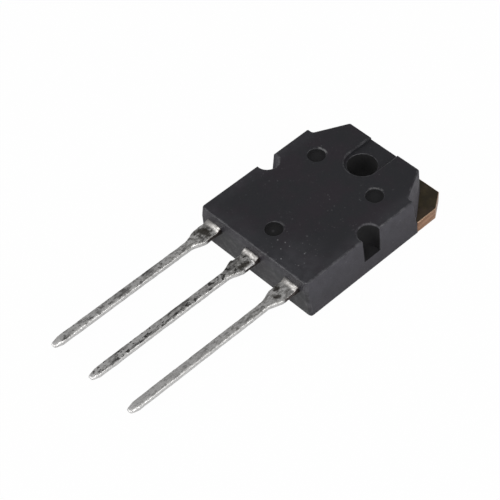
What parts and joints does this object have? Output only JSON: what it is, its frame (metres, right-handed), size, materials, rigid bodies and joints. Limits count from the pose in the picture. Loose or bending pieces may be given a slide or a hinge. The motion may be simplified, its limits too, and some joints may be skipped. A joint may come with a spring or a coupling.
{
  "type": "power transistor",
  "caption": "Flat plastic power transistor with a copper header, a fixing hole and straight solder-dipped leads.",
  "frame": {"origin": "centre of the fixing hole on the flat back of the header", "axes": "+Z out of the marking face along the hole, leads pointing along -Y, +X across the body towards the emitter lead"},
  "size_m": [0.0154, 0.041, 0.0047],
  "materials": {
    "epoxy": "matte, finely pitted by the mould",
    "header_copper": "bare rolled copper with light tarnish",
    "tinned_lead": "dull solder dip over copper",
    "silicon": "polished",
    "solder": "dull",
    "bond_wire": "bright drawn wire"
  },
  "bodies": {
    "root": {"moulded_body": "epoxy", "header_collector_lead": "header_copper", "base_lead": "tinned_lead", "emitter_lead": "tinned_lead", "silicon_die": "silicon", "die_solder": "solder", "base_wire": "bond_wire", "emitter_wire_a": "bond_wire", "emitter_wire_b": "bond_wire"}
  },
  "joints": []
}
